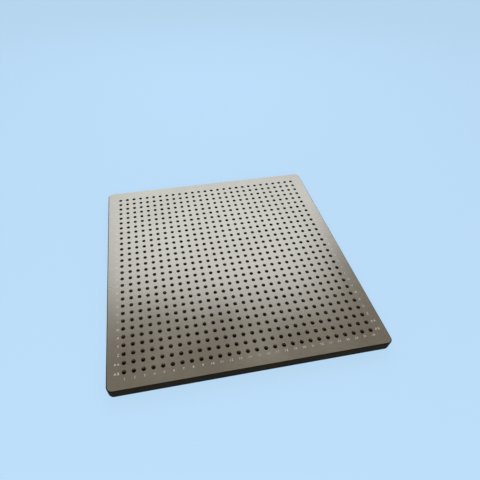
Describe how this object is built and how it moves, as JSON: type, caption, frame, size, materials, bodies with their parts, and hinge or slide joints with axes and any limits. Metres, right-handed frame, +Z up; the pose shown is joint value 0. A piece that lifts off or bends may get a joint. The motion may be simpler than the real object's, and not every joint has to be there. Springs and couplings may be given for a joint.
{
  "type": "fixture plate",
  "caption": "Square workholding base plate with rounded corners and a regular grid of tapped through holes in its flat top face.",
  "frame": {"origin": "middle of the underside, on the surface that the plate stands on", "axes": "+Z up out of the working face; +X along the rows of holes, in the order of the column numbers; +Y towards the back edge, away from the numbered edge"},
  "size_m": [0.46, 0.46, 0.02],
  "materials": {
    "plate": "ground and anodised, satin"
  },
  "bodies": {
    "root": {"plate": "plate"}
  },
  "joints": []
}
